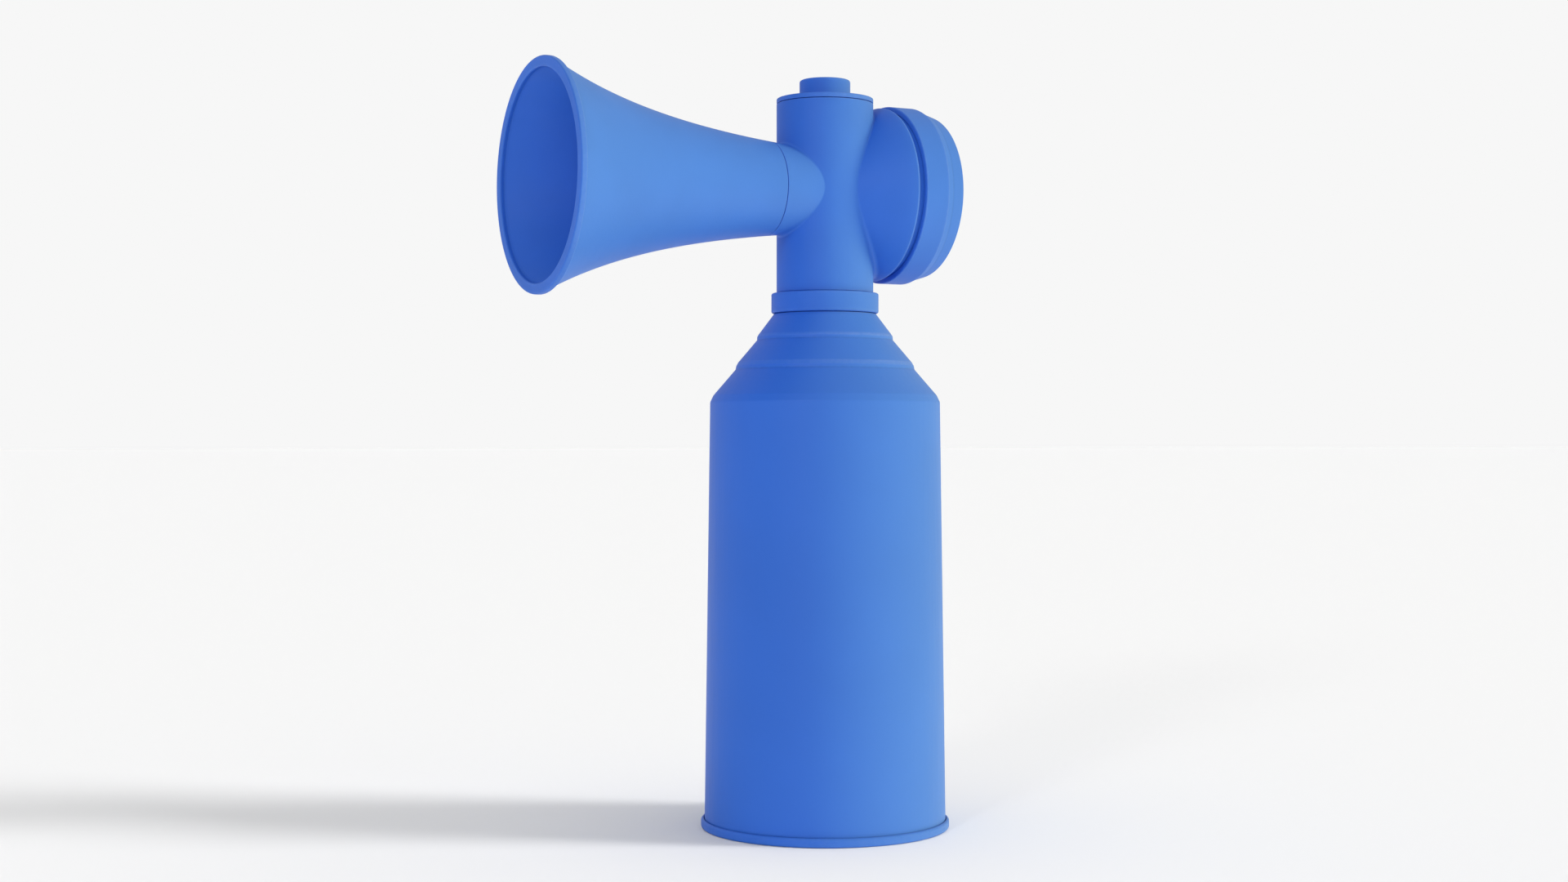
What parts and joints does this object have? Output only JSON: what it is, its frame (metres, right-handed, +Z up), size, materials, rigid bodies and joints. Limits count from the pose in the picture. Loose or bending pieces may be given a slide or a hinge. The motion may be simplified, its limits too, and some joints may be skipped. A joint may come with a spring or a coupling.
{
  "type": "handheld gas signal horn",
  "caption": "Handheld gas signal horn: slim can with conical shoulder, flared trumpet on a vertical neck, round diaphragm housing behind and a push button on top.",
  "frame": {"origin": "on the surface that the can stands on, under the middle of the bounding box; the can's axis is the vertical line at x = +24.75 mm, y = 0", "axes": "+Z up along the can, -X the way the trumpet's mouth faces, +X towards the diaphragm housing's cover"},
  "size_m": [0.1168, 0.0672, 0.2022],
  "materials": {
    "painted_steel": "satin blue lacquer on thin steel",
    "blue_plastic": "satin moulded, same blue as the can",
    "rubber": "black, moulded",
    "nylon": "natural white, moulded",
    "aluminium": "drawn, bright",
    "spring_steel": "drawn, bright"
  },
  "bodies": {
    "canister": {"can_body": "painted_steel", "can_base": "painted_steel", "valve_cup": "aluminium", "cup_gasket": "rubber", "valve_housing": "nylon", "stem_gasket": "rubber", "valve_spring": "spring_steel"},
    "valve_stem": {"valve_stem": "nylon"},
    "head": {"head_body": "blue_plastic", "lock_collar": "blue_plastic", "ferrule_seal": "rubber", "trumpet": "blue_plastic", "throat_oring": "rubber", "diaphragm_gasket": "rubber", "diaphragm": "spring_steel", "clamp_ring": "nylon", "rear_cover": "blue_plastic", "top_cap": "blue_plastic", "button_oring": "rubber", "return_spring": "spring_steel"},
    "button": {"button": "blue_plastic", "plunger": "nylon"}
  },
  "joints": [
    {"name": "head_swivel", "type": "hinge", "parent": "canister", "child": "head", "pos_m": [0.02475, 0, 0.1444], "axis": [0, 0, 1], "continuous": true},
    {"name": "button_press", "type": "slide", "parent": "head", "child": "button", "axis": [0, 0, -1], "range_m": [0, 0.0025], "stiffness_N_per_m": 2500, "springref_m": -0.002, "deforming": ["return_spring"]},
    {"name": "stem_slide", "type": "slide", "parent": "canister", "child": "valve_stem", "axis": [0, 0, -1], "range_m": [0, 0.0025], "deforming": ["valve_spring"]}
  ],
  "couplings": [
    {"joint": "stem_slide", "follows": "button_press", "ratio": 1}
  ]
}
